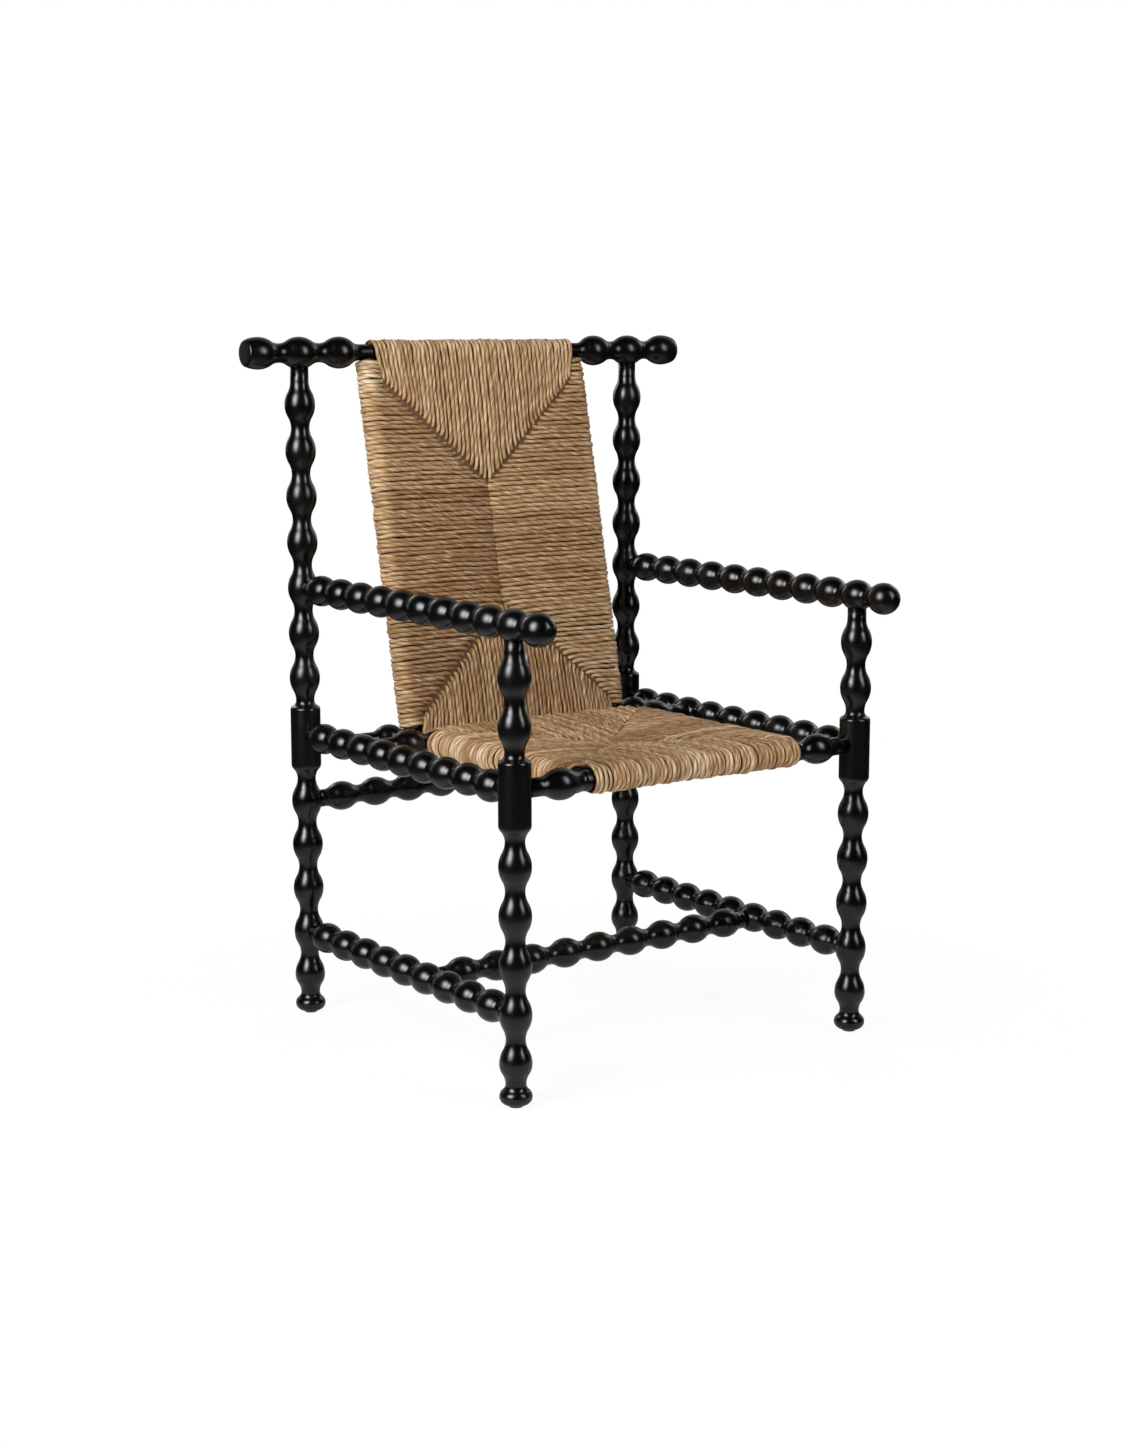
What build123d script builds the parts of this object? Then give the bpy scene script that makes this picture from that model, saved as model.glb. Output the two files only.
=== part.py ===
from build123d import *
import os
from math import isclose, sqrt

# Bobbin-turned armchair with a woven rush seat and back.
# Millimetres, +Z up, the sitter faces -Y. The origin is on the floor, under the
# middle of the chair's overall box.

os.makedirs("parts", exist_ok=True)

# ---------------------------------------------------------------- driving dimensions
# Plan of the frame
post_gap_x = 574.0        # between the axes of the left and right posts
post_gap_y = 530.0        # between the axes of the front and back posts
knob_reach = 53.0         # from the front post's axis forward to the middle of the arm's knob
crest_reach = 85.5        # from the back post's axis out to the end of the crest rail

# Turning of the posts
bobbin_pitch = 64.5       # middle to middle of the bobbins on the posts and the crest rail
first_bobbin_z = 56.5     # middle of the lowest bobbin
lower_bobbins = 5         # bobbins between the foot and the seat block
arm_bobbins = 2           # bobbins between the seat block and the arm, on a front post
back_bobbins = 7          # bobbins above the seat block, on a back post
bobbin_r = 21.5           # fattest radius of a bobbin
neck_r = 13.0             # thinnest radius between two bobbins
bobbin_swell = 0.56       # share of the half pitch that is belly, the rest is cove
block_r = 21.3            # plain round block that takes the seat rails
block_length = 79.5
block_foot = 21.25        # long taper under the block
block_head = 12.75        # short shoulder over the block
block_swell = 0.33        # the same share for the ends of that block
crest_gap = 71.5          # from the last bobbin of a back post up to the crest rail's axis

# Feet
foot_neck_z = 30.0        # thin place between the lowest bobbin and the bun foot
foot_neck_r = 13.6
foot_swell = 0.5
bun_z = 13.5              # height of the bun's belly
bun_r = 21.6
bun_base_r = 12.5         # flat underside of the bun
glide_r = 9.5
glide_height = 3.0
glide_edge = 0.8          # rounding of the glide's rim
glide_pin_r = 1.6
glide_pin_length = 14.0

# Beads of the arms, side rails and side stretchers
beads_per_side = 10       # bead pitches between the front and back post axes
back_bead = 2             # bead of the side rail, from the back, that takes the back's foot
seat_bead = 3             # bead that takes the seat's rear rail
cross_bead = 6            # bead of the side stretcher that takes the cross stretcher
bead_r = 21.6
bead_neck_r = 12.0
bead_swell = 0.69
knob_r = 21.9
knob_face_r = 6.0         # small flat that the lathe centre leaves on the knob
knob_bulge = 23.0         # from the knob's middle to that flat

# Cross members with bobbins
cross_pitches = 10        # bobbin pitches between the left and right post axes
stretcher_bobbin_r = 21.0
stretcher_neck_r = 12.5
crest_bobbin_r = 22.5
crest_neck_r = 13.4
crest_rim_r = 18.0        # where the last bobbin of the crest rail is cut off square
crest_end_round = 3.5     # rounding of that cut

# Seat and back frames, inside the rush
side_rail_up = 43.0       # side rail's axis above the foot of the seat block
front_rail_lift = 2.5     # front rail's axis above the side rails
rear_rail_lift = 1.5      # the two rear rails' axes above the side rails
rear_rail_set = 7.0       # the rear rails enter the side rails this far ahead of a bead's middle
rail_bobbin_in = 70.0     # from the post axis to the one bobbin at each end of a rush rail
seat_neck_in = 101.0      # from the post axis to the neck behind that bobbin, on a seat rail
seat_rod_in = 109.0       # from there to where the plain rod inside the seat rush starts
back_rod_in = 97.0        # the same for the rods inside the back rush, which have no neck
stile_in = 109.0          # from the post axis to the axis of a back stile or inner seat rail
wrap_in = 5.0             # from a stile's axis in to the outermost cord round a rail
corner_gap = 1.5          # from a rail's surface to the first cord round a stile
seat_core_r = 14.0        # plain rod inside the seat rush
back_core_r = 11.5        # plain rod inside the back rush
rush_layer = 5.0          # one layer of rush cord round a rod
weave_half = 6.2          # from a weave's middle plane to its face, at the seam in its middle
back_low_apex = 181.0     # from the bottom rail's axis up to the lower end of that seam
back_high_apex = 192.5    # from the crest rail's axis down to its upper end
shortest_seam = 2.0       # least length of that seam

# Joints
tenon_r = 8.5             # round tenons of rails, arms, stretchers and posts
tenon_web = 1.0           # wood left between two tenons that meet in one post
housing = 1.0             # how far the whole end of a neck is let into the body that it meets
rear_rail_floor = 12.0    # where a rear rail's neck ends, from the side rail's axis
rear_rail_tip = 5.0       # tip of a rear rail's tenon, from the side rail's axis
inner_tenon_r = 6.5       # tenons of the rods inside the rush
fit_gap = 0.1             # radial clearance of a tenon in its socket
end_gap = 0.5             # air at the bottom of a socket
seat_gap = 0.05           # clearance between a shoulder and the floor that it seats on
rush_gap = 0.15           # clearance between the rush and the rods inside it

# ---------------------------------------------------------------- places worked out
crest_half = post_gap_x / 2 + crest_reach
depth = post_gap_y + knob_reach + knob_bulge + crest_bobbin_r
back_y = depth / 2 - crest_bobbin_r
front_y = back_y - post_gap_y
post_x = post_gap_x / 2

neck_over_lower_z = first_bobbin_z + lower_bobbins * bobbin_pitch - bobbin_pitch / 2
block_low_z = neck_over_lower_z + block_foot
block_top_z = block_low_z + block_length
neck_over_block_z = block_top_z + block_head
first_upper_z = neck_over_block_z + bobbin_pitch / 2
arm_z = first_upper_z + arm_bobbins * bobbin_pitch
crest_z = first_upper_z + (back_bobbins - 1) * bobbin_pitch + crest_gap

side_rail_z = block_low_z + side_rail_up
front_rail_z = side_rail_z + front_rail_lift
rear_rail_z = side_rail_z + rear_rail_lift
side_stretcher_z = first_bobbin_z + bobbin_pitch
rear_stretcher_z = first_bobbin_z + (lower_bobbins - 1) * bobbin_pitch

bead_pitch = post_gap_y / beads_per_side
cross_pitch = post_gap_x / cross_pitches
back_rail_y = back_y - back_bead * bead_pitch - rear_rail_set
seat_rear_y = back_y - seat_bead * bead_pitch - rear_rail_set
cross_y = back_y - cross_bead * bead_pitch
stile_x = post_x - stile_in
rail_bobbin_x = post_x - rail_bobbin_in
seat_neck_x = post_x - seat_neck_in
seat_rod_x = post_x - seat_rod_in
back_rod_x = post_x - back_rod_in

tenon_tip = tenon_r + tenon_web           # from the axis of the socketed piece to a tenon's tip
inner_tenon_tip = inner_tenon_r / 2


# ---------------------------------------------------------------- turning and joinery
def lathe(origin, along, radial):
    """Plane of a turned profile: its x is the radius, its y the distance along the axis."""
    return Plane(origin=origin, x_dir=radial, z_dir=Vector(radial).cross(Vector(along)))


def leave(station, knee, way):
    """Arc that leaves a station level with the axis, or a line where the radius stays."""
    if isclose(station[0], knee[0]):
        Line(station, knee)
    else:
        TangentArc(station, knee, tangent=(0, way))


def turn(stations, swell):
    """Profile through stations (radius, distance) where it runs level with the axis.

    Two tangent arcs join each pair, and swell is the fatter end's share of the way.
    """
    knees = []
    for (r0, d0), (r1, d1) in zip(stations, stations[1:]):
        share = swell if r0 > r1 else 1 - swell
        knees.append((r0 + share * (r1 - r0), d0 + share * (d1 - d0)))
    leave(stations[0], knees[0], 1)
    for before, station, after in zip(knees, stations[1:], knees[1:]):
        same_fall = isclose(before[0], after[0]) and not isclose(before[0], station[0])
        if same_fall and isclose(station[1] - before[1], after[1] - station[1]):
            ThreePointArc(before, station, after)
        else:
            leave(station, before, -1)
            leave(station, after, 1)
    leave(stations[-1], knees[-1], -1)


def run_of(count, first, pitch, belly, neck):
    """Stations of a run of bobbins, from the first belly to the neck after the last."""
    stations = []
    for i in range(count):
        middle = first + i * pitch
        stations += [(belly, middle), (neck, middle + pitch / 2)]
    return stations


def floor_in(body_r, neck):
    """Distance from a round body's axis to the floor that a neck's end seats on."""
    return sqrt(body_r**2 - neck**2) - housing


def socket(origin, along, radius, depth):
    """Round socket of the given depth, sunk from origin in the direction along."""
    with BuildSketch(Plane(origin=origin, z_dir=along)) as mouth:
        Circle(radius + fit_gap)
    extrude(mouth.sketch, amount=depth, mode=Mode.SUBTRACT)


def cross_socket(axis_point, towards, body_r, radius, tip):
    """Plain socket for a tenon that comes at right angles, from the side named by towards."""
    out = Vector(towards).normalized()
    mouth = Vector(axis_point) + out * (body_r + fit_gap)
    socket(mouth, out * -1, radius, body_r + fit_gap - tip + end_gap)


def housed_socket(axis_point, towards, body_r, neck, floor=None, tip=tenon_tip):
    """Socket with a wider seat, in which the neck behind the tenon is housed too."""
    floor = floor or floor_in(body_r, neck)
    cross_socket(axis_point, towards, body_r, neck, floor + end_gap)
    cross_socket(axis_point, towards, body_r, tenon_r, tip)


# ---------------------------------------------------------------- posts
def foot_profile():
    """Bun foot and the thin place above it, up to the belly of the lowest bobbin."""
    Line((0, glide_height), (bun_base_r, glide_height))
    TangentArc((bun_r, bun_z), (bun_base_r, glide_height), tangent=(0, -1))
    turn([(bun_r, bun_z), (foot_neck_r, foot_neck_z), (bobbin_r, first_bobbin_z)], foot_swell)


def post_profile(bobbins_above, neck_top, tenon_top):
    """Whole outline of a post, from the underside of its foot to the tip of its tenon."""
    foot_profile()
    turn(run_of(lower_bobbins, first_bobbin_z, bobbin_pitch, bobbin_r, neck_r), bobbin_swell)
    turn([(neck_r, neck_over_lower_z), (block_r, block_low_z)], block_swell)
    Line((block_r, block_low_z), (block_r, block_top_z))
    turn([(block_r, block_top_z), (neck_r, neck_over_block_z)], block_swell)
    upper = run_of(bobbins_above, first_upper_z, bobbin_pitch, bobbin_r, neck_r)
    turn([(neck_r, neck_over_block_z)] + upper, bobbin_swell)
    Polyline(upper[-1], (neck_r, neck_top), (tenon_r, neck_top), (tenon_r, tenon_top),
             (0, tenon_top), (0, glide_height))


front_neck_top = arm_z - floor_in(bead_r, neck_r) - seat_gap
back_neck_top = crest_z - floor_in(crest_bobbin_r, neck_r) - seat_gap

sides = (("left", -1), ("right", 1))

for side, sign in sides:
    x = sign * post_x
    with BuildPart() as front_post:
        with BuildSketch(lathe((x, front_y, 0), (0, 0, 1), (1, 0, 0))):
            with BuildLine():
                post_profile(arm_bobbins, front_neck_top, arm_z - tenon_tip)
            make_face()
        revolve(axis=Axis((x, front_y, 0), (0, 0, 1)))
        housed_socket((x, front_y, side_stretcher_z), (0, 1, 0), bobbin_r, bead_neck_r)
        housed_socket((x, front_y, side_rail_z), (0, 1, 0), block_r, bead_neck_r)
        housed_socket((x, front_y, front_rail_z), (-sign, 0, 0), block_r, stretcher_neck_r)
        socket((x, front_y, glide_height), (0, 0, 1), glide_pin_r, glide_pin_length + end_gap)
    front_post.part.label = f"front_{side}_post"
    export_step(front_post.part, f"parts/front_{side}_post.step")

    with BuildPart() as back_post:
        with BuildSketch(lathe((x, back_y, 0), (0, 0, 1), (1, 0, 0))):
            with BuildLine():
                post_profile(back_bobbins, back_neck_top, crest_z - tenon_tip)
            make_face()
        revolve(axis=Axis((x, back_y, 0), (0, 0, 1)))
        housed_socket((x, back_y, side_stretcher_z), (0, -1, 0), bobbin_r, bead_neck_r)
        housed_socket((x, back_y, side_rail_z), (0, -1, 0), block_r, bead_neck_r)
        housed_socket((x, back_y, arm_z), (0, -1, 0), bobbin_r, bead_neck_r)
        housed_socket((x, back_y, rear_stretcher_z), (-sign, 0, 0), bobbin_r, stretcher_neck_r)
        socket((x, back_y, glide_height), (0, 0, 1), glide_pin_r, glide_pin_length + end_gap)
    back_post.part.label = f"back_{side}_post"
    export_step(back_post.part, f"parts/back_{side}_post.step")

# ---------------------------------------------------------------- glides
for end, y in (("front", front_y), ("back", back_y)):
    for side, sign in sides:
        with BuildPart() as glide:
            with BuildSketch(Plane.XY):
                with Locations((sign * post_x, y)):
                    Circle(glide_r)
            extrude(amount=glide_height - seat_gap)
            fillet(glide.edges().sort_by(Axis.Z)[0], radius=glide_edge)
            with BuildSketch(Plane.XY.offset(glide_height - seat_gap)):
                with Locations((sign * post_x, y)):
                    Circle(glide_pin_r)
            extrude(amount=glide_pin_length)
        glide.part.label = f"{end}_{side}_glide"
        export_step(glide.part, f"parts/{end}_{side}_glide.step")


# ---------------------------------------------------------------- beaded sides
def tenon_ends(start, end, neck, half_span, floor, tip_in=tenon_tip):
    """Closes a rail's profile with a round tenon at each end.

    half_span is from the rail's middle to the axis of the body that it enters, and floor
    and tip_in are from that axis to the shoulder's seat and to the tenon's tip.
    """
    shoulder = half_span - floor - seat_gap
    tip = half_span - tip_in
    Polyline(end, (neck, shoulder), (tenon_r, shoulder), (tenon_r, tip), (0, tip), (0, -tip),
             (tenon_r, -tip), (tenon_r, -shoulder), (neck, -shoulder), start)


mid_y = (front_y + back_y) / 2
half_side = post_gap_y / 2
side_beads = beads_per_side - 1
side_first = -half_side + bead_pitch

for side, sign in sides:
    x = sign * post_x
    inward = (-sign, 0, 0)
    for name, z, body_r in (("seat_rail", side_rail_z, block_r),
                            ("side_stretcher", side_stretcher_z, bobbin_r)):
        with BuildPart() as beaded:
            with BuildSketch(lathe((x, mid_y, z), (0, 1, 0), (sign, 0, 0))):
                with BuildLine():
                    beads = [(bead_neck_r, side_first - bead_pitch / 2)]
                    beads += run_of(side_beads, side_first, bead_pitch, bead_r, bead_neck_r)
                    turn(beads, bead_swell)
                    tenon_ends(beads[0], beads[-1], bead_neck_r, half_side,
                               floor_in(body_r, bead_neck_r))
                make_face()
            revolve(axis=Axis((x, mid_y, z), (0, 1, 0)))
            if name == "seat_rail":
                for y in (seat_rear_y, back_rail_y):
                    housed_socket((x, y, rear_rail_z), inward, bead_r, stretcher_neck_r,
                                  rear_rail_floor, rear_rail_tip)
            else:
                housed_socket((x, cross_y, z), inward, bead_r, stretcher_neck_r)
        beaded.part.label = f"{side}_{name}"
        export_step(beaded.part, f"parts/{side}_{name}.step")

    # The arm runs on over the front post and ends in a knob.
    with BuildPart() as arm:
        with BuildSketch(lathe((x, back_y, arm_z), (0, -1, 0), (sign, 0, 0))):
            with BuildLine():
                shoulder = floor_in(bobbin_r, bead_neck_r) + seat_gap
                beads = [(bead_neck_r, bead_pitch / 2)]
                beads += run_of(beads_per_side, bead_pitch, bead_pitch, bead_r, bead_neck_r)
                knob_middle = post_gap_y + knob_reach
                turn(beads + [(knob_r, knob_middle)], bead_swell)
                face = knob_middle + knob_bulge
                TangentArc((knob_r, knob_middle), (knob_face_r, face), tangent=(0, 1))
                Polyline((knob_face_r, face), (0, face), (0, tenon_tip), (tenon_r, tenon_tip),
                         (tenon_r, shoulder), (bead_neck_r, shoulder), beads[0])
            make_face()
        revolve(axis=Axis((x, back_y, arm_z), (0, -1, 0)))
        housed_socket((x, front_y, arm_z), (0, 0, -1), bead_r, neck_r)
    arm.part.label = f"{side}_arm"
    export_step(arm.part, f"parts/{side}_arm.step")

# ---------------------------------------------------------------- bobbin stretchers
across = cross_pitches - 1
for name, y, z, body_r in (("cross_stretcher", cross_y, side_stretcher_z, bead_r),
                           ("rear_stretcher", back_y, rear_stretcher_z, bobbin_r)):
    with BuildPart() as stretcher:
        with BuildSketch(lathe((0, y, z), (1, 0, 0), (0, 0, -1))):
            with BuildLine():
                start = (stretcher_neck_r, -post_x + cross_pitch / 2)
                bobbins = [start] + run_of(across, -post_x + cross_pitch, cross_pitch,
                                           stretcher_bobbin_r, stretcher_neck_r)
                turn(bobbins, bobbin_swell)
                tenon_ends(start, bobbins[-1], stretcher_neck_r, post_x,
                           floor_in(body_r, stretcher_neck_r))
            make_face()
        revolve(axis=Axis((0, y, z), (1, 0, 0)))
    stretcher.part.label = name
    export_step(stretcher.part, f"parts/{name}.step")

# ---------------------------------------------------------------- rails that carry the rush
back_up = Vector(0, back_y - back_rail_y, crest_z - rear_rail_z).normalized()
seat_forward = Vector(0, front_y - seat_rear_y, front_rail_z - rear_rail_z).normalized()

seat_rod = [(seat_core_r, seat_rod_x), (stretcher_neck_r, seat_neck_x)]
back_rod = [(back_core_r, back_rod_x)]
post_floor = floor_in(block_r, stretcher_neck_r)
rush_rails = (
    ("front_seat_rail", front_y, front_rail_z, seat_rod, seat_forward * -1, post_floor,
     tenon_tip),
    ("rear_seat_rail", seat_rear_y, rear_rail_z, seat_rod, seat_forward, rear_rail_floor,
     rear_rail_tip),
    ("back_bottom_rail", back_rail_y, rear_rail_z, back_rod, back_up, rear_rail_floor,
     rear_rail_tip),
)

for name, y, z, core, towards, floor, tip_in in rush_rails:
    core_r = core[0][0]
    outer_neck_x = 2 * rail_bobbin_x - core[-1][1]
    with BuildPart() as rail:
        with BuildSketch(lathe((0, y, z), (1, 0, 0), (0, 0, -1))):
            with BuildLine():
                right = core + [(stretcher_bobbin_r, rail_bobbin_x),
                                (stretcher_neck_r, outer_neck_x)]
                left = [(radius, -distance) for radius, distance in reversed(right)]
                turn(left, bobbin_swell)
                Line(left[-1], right[0])
                turn(right, bobbin_swell)
                tenon_ends(left[0], right[-1], stretcher_neck_r, post_x, floor, tip_in)
            make_face()
        revolve(axis=Axis((0, y, z), (1, 0, 0)))
        for side, sign in sides:
            cross_socket((sign * stile_x, y, z), towards, core_r, inner_tenon_r, inner_tenon_tip)
    rail.part.label = name
    export_step(rail.part, f"parts/{name}.step")

with BuildPart() as crest:
    with BuildSketch(lathe((0, back_y, crest_z), (1, 0, 0), (0, 0, -1))):
        with BuildLine():
            outer = post_x + bobbin_pitch
            inner = post_x - bobbin_pitch
            right = [(back_core_r, back_rod_x), (crest_bobbin_r, inner),
                     (crest_neck_r, post_x - bobbin_pitch / 2), (crest_bobbin_r, post_x),
                     (crest_neck_r, post_x + bobbin_pitch / 2), (crest_bobbin_r, outer)]
            left = [(radius, -distance) for radius, distance in reversed(right)]
            for run, end_sign in ((left, -1), (right, 1)):
                turn(run, bobbin_swell)
                face = end_sign * crest_half
                belly = (crest_bobbin_r, end_sign * outer)
                TangentArc(belly, (crest_rim_r, face), tangent=(0, end_sign))
                Line((crest_rim_r, face), (0, face))
            Line(left[-1], right[0])
            Line((0, -crest_half), (0, crest_half))
        make_face()
    revolve(axis=Axis((0, back_y, crest_z), (1, 0, 0)))
    end_rims = crest.edges().filter_by(GeomType.CIRCLE).group_by(Axis.X)
    fillet(end_rims[0] + end_rims[-1], radius=crest_end_round)
    for side, sign in sides:
        housed_socket((sign * post_x, back_y, crest_z), (0, 0, -1), crest_bobbin_r, neck_r)
        cross_socket((sign * stile_x, back_y, crest_z), back_up * -1, back_core_r,
                     inner_tenon_r, inner_tenon_tip)
crest.part.label = "crest_rail"
export_step(crest.part, "parts/crest_rail.step")

# ---------------------------------------------------------------- rods inside the rush
rods = (
    ("seat_inner_rail", seat_rear_y, rear_rail_z, front_y, front_rail_z, seat_core_r),
    ("back_stile", back_rail_y, rear_rail_z, back_y, crest_z, back_core_r),
)
for name, y0, z0, y1, z1, core_r in rods:
    along = Vector(0, y1 - y0, z1 - z0)
    span = along.length
    along = along.normalized()
    for side, sign in sides:
        foot = Vector(sign * stile_x, y0, z0)
        with BuildPart() as rod:
            with BuildSketch(lathe(foot, along, (sign, 0, 0))):
                with BuildLine():
                    shoulder = core_r + seat_gap
                    far = span - shoulder
                    far_tip = span - inner_tenon_tip
                    Polyline((0, inner_tenon_tip), (inner_tenon_r, inner_tenon_tip),
                             (inner_tenon_r, shoulder), (core_r, shoulder), (core_r, far),
                             (inner_tenon_r, far), (inner_tenon_r, far_tip), (0, far_tip),
                             close=True)
                make_face()
            revolve(axis=Axis(foot, along))
        rod.part.label = f"{side}_{name}"
        export_step(rod.part, f"parts/{side}_{name}.step")

# ---------------------------------------------------------------- woven rush
weaves = (
    ("seat_rush", seat_rear_y, rear_rail_z, front_y, front_rail_z, seat_core_r, stile_x, stile_x),
    ("back_rush", back_rail_y, rear_rail_z, back_y, crest_z, back_core_r, back_low_apex,
     back_high_apex),
)
for name, y0, z0, y1, z1, core_r, first_apex, last_apex in weaves:
    span = Vector(0, y1 - y0, z1 - z0).length
    along = Vector(0, y1 - y0, z1 - z0).normalized()
    roll_r = core_r + rush_layer
    wrap_x = stile_x - wrap_in
    corner = core_r + corner_gap
    cavity_r = core_r + rush_gap
    room = min(1, (span - shortest_seam) / (first_apex + last_apex))
    base = Vector(0, y0, z0)
    middle = base + along * (span / 2)
    flat = Plane(origin=middle, x_dir=(1, 0, 0), z_dir=Vector(1, 0, 0).cross(along))
    with BuildPart() as weave:
        # the flat of the weave, between the four rods
        with BuildSketch(flat):
            Rectangle(2 * stile_x, span - 2 * corner)
            Rectangle(2 * wrap_x, span)
        extrude(amount=roll_r, both=True)
        # rolls round the two rails, and round the two side rods between them
        for end in (base, base + along * span):
            with BuildSketch(Plane(origin=end - Vector(wrap_x, 0, 0), z_dir=(1, 0, 0))):
                Circle(roll_r)
            extrude(amount=2 * wrap_x)
        for side, sign in sides:
            start = base + Vector(sign * stile_x, 0, 0) + along * corner
            with BuildSketch(Plane(origin=start, z_dir=along)):
                Circle(roll_r)
            extrude(amount=span - 2 * corner)
        # each face falls along four mitred slopes to a seam in the middle
        for face in (1, -1):
            with BuildPart(mode=Mode.PRIVATE) as hollow:
                with BuildSketch(Plane(origin=middle, x_dir=(1, 0, 0), z_dir=along)):
                    Polygon((-stile_x, face * -roll_r), (0, face * -weave_half),
                            (stile_x, face * -roll_r), align=None)
                extrude(amount=span / 2, both=True)
                with BuildSketch(Plane(origin=base, x_dir=along, z_dir=(1, 0, 0))):
                    Polygon((0, face * roll_r), (room * first_apex, face * weave_half),
                            (span - room * last_apex, face * weave_half),
                            (span, face * roll_r), align=None)
                extrude(amount=stile_x, both=True, mode=Mode.INTERSECT)
            add(hollow.part, mode=Mode.SUBTRACT)
        # room for the rods
        for end in (base, base + along * span):
            with BuildSketch(Plane(origin=end - Vector(post_x, 0, 0), z_dir=(1, 0, 0))):
                Circle(cavity_r)
            extrude(amount=2 * post_x, mode=Mode.SUBTRACT)
        for side, sign in sides:
            start = base + Vector(sign * stile_x, 0, 0)
            with BuildSketch(Plane(origin=start, z_dir=along)):
                Circle(cavity_r)
            extrude(amount=span, mode=Mode.SUBTRACT)
    weave.part.label = name
    export_step(weave.part, f"parts/{name}.step")
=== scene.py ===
# %% [markdown]
# # A bobbin-turned armchair with a rush seat and back
#
# Black lacquered turnings carry two panels of twisted rush cord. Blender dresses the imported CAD
# frame here: each turned piece is made again as a smooth surface of revolution from the same
# sizes, and each weave is laid cord by cord in the room that its plain solid holds.

# %% Load the frame
import bpy
import math
import numpy as np
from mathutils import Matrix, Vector


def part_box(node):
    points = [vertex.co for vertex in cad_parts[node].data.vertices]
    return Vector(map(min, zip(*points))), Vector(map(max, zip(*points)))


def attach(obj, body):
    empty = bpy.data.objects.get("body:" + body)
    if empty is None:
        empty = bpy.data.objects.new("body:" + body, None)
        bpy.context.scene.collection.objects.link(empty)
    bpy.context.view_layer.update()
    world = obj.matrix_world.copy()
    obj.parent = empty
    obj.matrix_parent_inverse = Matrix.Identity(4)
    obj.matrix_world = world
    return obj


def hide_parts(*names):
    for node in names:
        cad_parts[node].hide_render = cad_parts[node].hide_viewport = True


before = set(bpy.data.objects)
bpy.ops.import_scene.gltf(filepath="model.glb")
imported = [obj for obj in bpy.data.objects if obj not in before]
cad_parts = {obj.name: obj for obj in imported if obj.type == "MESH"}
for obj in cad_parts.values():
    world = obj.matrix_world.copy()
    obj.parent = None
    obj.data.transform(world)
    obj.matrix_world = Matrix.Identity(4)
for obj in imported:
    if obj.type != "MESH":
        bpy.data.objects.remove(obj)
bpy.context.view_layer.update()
print("CAD nodes:", len(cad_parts))

# %% [markdown]
# ## Sizes
#
# A turner works from a pattern stick: one pitch for the bobbins of the posts, one for the beads
# of the arms and sides, and a few radii. The rest is counted off along the stick. All sizes are
# in metres, in the frame of the CAD model: +Z up, and the sitter faces -Y.

# %% Sizes of the turned frame
bobbin_pitch, bobbin_r, neck_r = 0.0645, 0.0215, 0.0130
first_bobbin_z, lower_bobbins, arm_bobbins, back_bobbins = 0.0565, 5, 2, 7
block_r, block_length, block_foot, block_head = 0.0213, 0.0795, 0.02125, 0.01275
crest_gap = 0.0715
foot_neck_z, foot_neck_r = 0.030, 0.0136
bun_z, bun_r, bun_base_r, glide_height = 0.0135, 0.0216, 0.0125, 0.003
bead_r, bead_neck_r, knob_r, knob_face_r, knob_bulge = 0.0216, 0.012, 0.0219, 0.006, 0.023
beads_per_side, cross_pitches, knob_reach = 10, 10, 0.053
back_bead, seat_bead, cross_bead = 2, 3, 6  # side beads, from the back, that take cross pieces
stretcher_bobbin_r, stretcher_neck_r = 0.021, 0.0125
crest_bobbin_r, crest_neck_r, crest_rim_r, crest_end_round = 0.0225, 0.0134, 0.018, 0.0035
rail_bobbin_in, seat_neck_in, seat_rod_in, back_rod_in = 0.070, 0.101, 0.109, 0.097
stile_in, wrap_in, corner_gap = 0.109, 0.005, 0.0015
seat_core_r, back_core_r = 0.014, 0.0115
side_rail_up, front_rail_lift, rear_rail_lift, rear_rail_set = 0.043, 0.0025, 0.0015, 0.007
housing, tenon_r, tenon_tip, rear_rail_floor, rear_rail_tip = 0.001, 0.0085, 0.0095, 0.012, 0.005
even, bobbin_share, bead_share, block_share = 0.5, 0.56, 0.69, 0.33

# %% Places read from the frame and counted off
post_low, post_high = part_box("front_right_post")
back_low, back_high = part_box("back_right_post")
post_x = (post_low.x + post_high.x) / 2
front_y = (post_low.y + post_high.y) / 2
back_y = (back_low.y + back_high.y) / 2
bead_pitch = (back_y - front_y) / beads_per_side
cross_pitch = 2 * post_x / cross_pitches

block_low_z = first_bobbin_z + lower_bobbins * bobbin_pitch - bobbin_pitch / 2 + block_foot
block_top_z = block_low_z + block_length
first_upper_z = block_top_z + block_head + bobbin_pitch / 2
arm_z = first_upper_z + arm_bobbins * bobbin_pitch
crest_z = first_upper_z + (back_bobbins - 1) * bobbin_pitch + crest_gap
side_rail_z = block_low_z + side_rail_up
front_rail_z = side_rail_z + front_rail_lift
rear_rail_z = side_rail_z + rear_rail_lift
side_stretcher_z = first_bobbin_z + bobbin_pitch
rear_stretcher_z = first_bobbin_z + (lower_bobbins - 1) * bobbin_pitch
back_rail_y = back_y - back_bead * bead_pitch - rear_rail_set
seat_rear_y = back_y - seat_bead * bead_pitch - rear_rail_set
cross_y = back_y - cross_bead * bead_pitch
stile_x = post_x - stile_in
rail_bobbin_x = post_x - rail_bobbin_in
seat_neck_x, seat_rod_x = post_x - seat_neck_in, post_x - seat_rod_in
back_rod_x = post_x - back_rod_in
print(f"posts at x ±{post_x:.3f}, y {front_y:.3f} and {back_y:.3f}; crest at z {crest_z:.4f}")

# %% [markdown]
# ## Black lacquer
#
# The wood is ebonised: a black stain, a satin lacquer, and under it the grain of the turning,
# which runs along each piece's own axis. The finish is a plain principled shader. What varies,
# the grain's fine ridges, the spray's orange peel and the rub on the fattest places, comes from
# two small node groups, so that another finish can use them too.


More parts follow.
